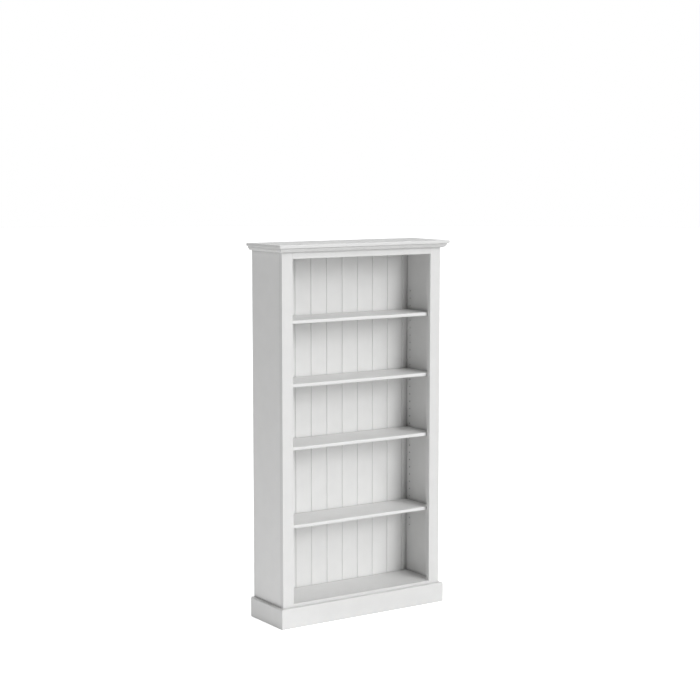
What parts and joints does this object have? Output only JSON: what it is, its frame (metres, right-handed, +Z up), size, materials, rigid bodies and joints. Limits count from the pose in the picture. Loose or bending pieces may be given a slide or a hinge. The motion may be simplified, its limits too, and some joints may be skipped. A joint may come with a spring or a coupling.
{
  "type": "miniature bookcase",
  "caption": "Open miniature bookcase with a moulded cornice, a plinth, a V-jointed board back and loose shelves that lift off their pegs.",
  "frame": {"origin": "on the ground under the middle of the overall box", "axes": "+Z up, open front towards -Y, +X to the viewer's right when facing the open front"},
  "size_m": [0.0814, 0.0264, 0.152],
  "materials": {
    "white_paint": "satin white paint",
    "white_paint_back": "satin white paint",
    "white_paint_shelf": "satin white paint",
    "bare_wood": "unfinished",
    "peg_steel": "drawn wire"
  },
  "bodies": {
    "carcass": {"cap_board": "white_paint", "crown_front": "white_paint", "crown_left": "white_paint", "crown_right": "white_paint", "sub_top": "white_paint", "side_panel_left": "white_paint", "side_panel_right": "white_paint", "stile_left": "white_paint", "stile_right": "white_paint", "top_rail": "white_paint", "bottom_rail": "white_paint", "floor_board": "white_paint", "base_rail_rear": "bare_wood", "plinth_front": "white_paint", "plinth_left": "white_paint", "plinth_right": "white_paint", "back_board_01": "white_paint_back", "back_board_02": "white_paint_back", "back_board_03": "white_paint_back", "back_board_04": "white_paint_back", "back_board_05": "white_paint_back", "back_board_06": "white_paint_back", "back_board_07": "white_paint_back", "back_board_08": "white_paint_back", "back_board_09": "white_paint_back", "back_board_10": "white_paint_back", "back_board_11": "white_paint_back", "shelf_pegs_1": "peg_steel", "shelf_pegs_2": "peg_steel", "shelf_pegs_3": "peg_steel", "shelf_pegs_4": "peg_steel"},
    "loose_shelf_1": {"shelf_1": "white_paint_shelf"},
    "loose_shelf_2": {"shelf_2": "white_paint_shelf"},
    "loose_shelf_3": {"shelf_3": "white_paint_shelf"},
    "loose_shelf_4": {"shelf_4": "white_paint_shelf"}
  },
  "joints": [
    {"name": "shelf_1_lift", "type": "slide", "parent": "carcass", "child": "loose_shelf_1", "axis": [0, 0, 1], "range_m": [0, 0.02686]},
    {"name": "shelf_2_lift", "type": "slide", "parent": "carcass", "child": "loose_shelf_2", "axis": [0, 0, 1], "range_m": [0, 0.02298]},
    {"name": "shelf_3_lift", "type": "slide", "parent": "carcass", "child": "loose_shelf_3", "axis": [0, 0, 1], "range_m": [0, 0.02298]},
    {"name": "shelf_4_lift", "type": "slide", "parent": "carcass", "child": "loose_shelf_4", "axis": [0, 0, 1], "range_m": [0, 0.02926]}
  ]
}
